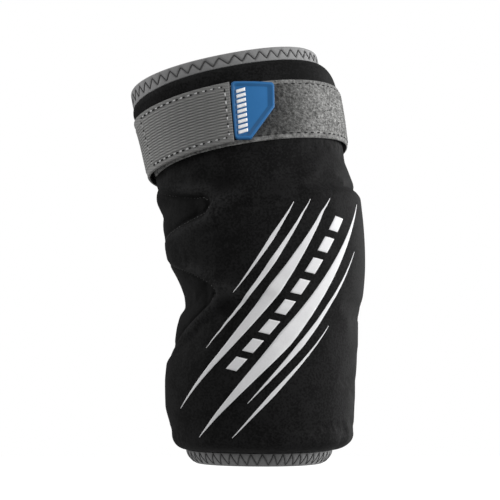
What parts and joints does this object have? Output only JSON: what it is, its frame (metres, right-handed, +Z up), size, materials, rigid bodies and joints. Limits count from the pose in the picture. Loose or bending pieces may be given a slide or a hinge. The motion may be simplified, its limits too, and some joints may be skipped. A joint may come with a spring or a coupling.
{
  "type": "lacrosse arm pad",
  "caption": "Padded elbow sleeve for a lacrosse player, bent as on an arm, open at both ends, with a wrap strap, loop tape and moulded pull tab at the upper arm.",
  "frame": {"origin": "centre of the elbow inside the sleeve, on the arm's axis, 112 mm above the cover's lower rim", "axes": "+Z up the forearm towards the upper arm, -Y towards the side with the tab, +X towards the padded point of the elbow"},
  "size_m": [0.1552, 0.1348, 0.2668],
  "materials": {
    "cover_black": "matte brushed knit bonded to foam",
    "lining_grey": "smooth grey knit over thin foam",
    "loop_grey": "fuzzy loop pile",
    "hook_black": "moulded hook tape",
    "webbing_grey": "ribbed elastic webbing",
    "tab_blue": "satin moulded rubber",
    "rib_white": "satin raised ribs",
    "print_silver": "smooth transfer print",
    "thread_dark": "twisted sewing thread"
  },
  "bodies": {
    "root": {"padded_shell": "cover_black", "lining_sleeve": "lining_grey", "loop_patch": "loop_grey", "hook_patch": "hook_black", "elastic_strap": "webbing_grey", "pull_tab": "tab_blue", "tab_ribs": "rib_white"}
  },
  "joints": []
}
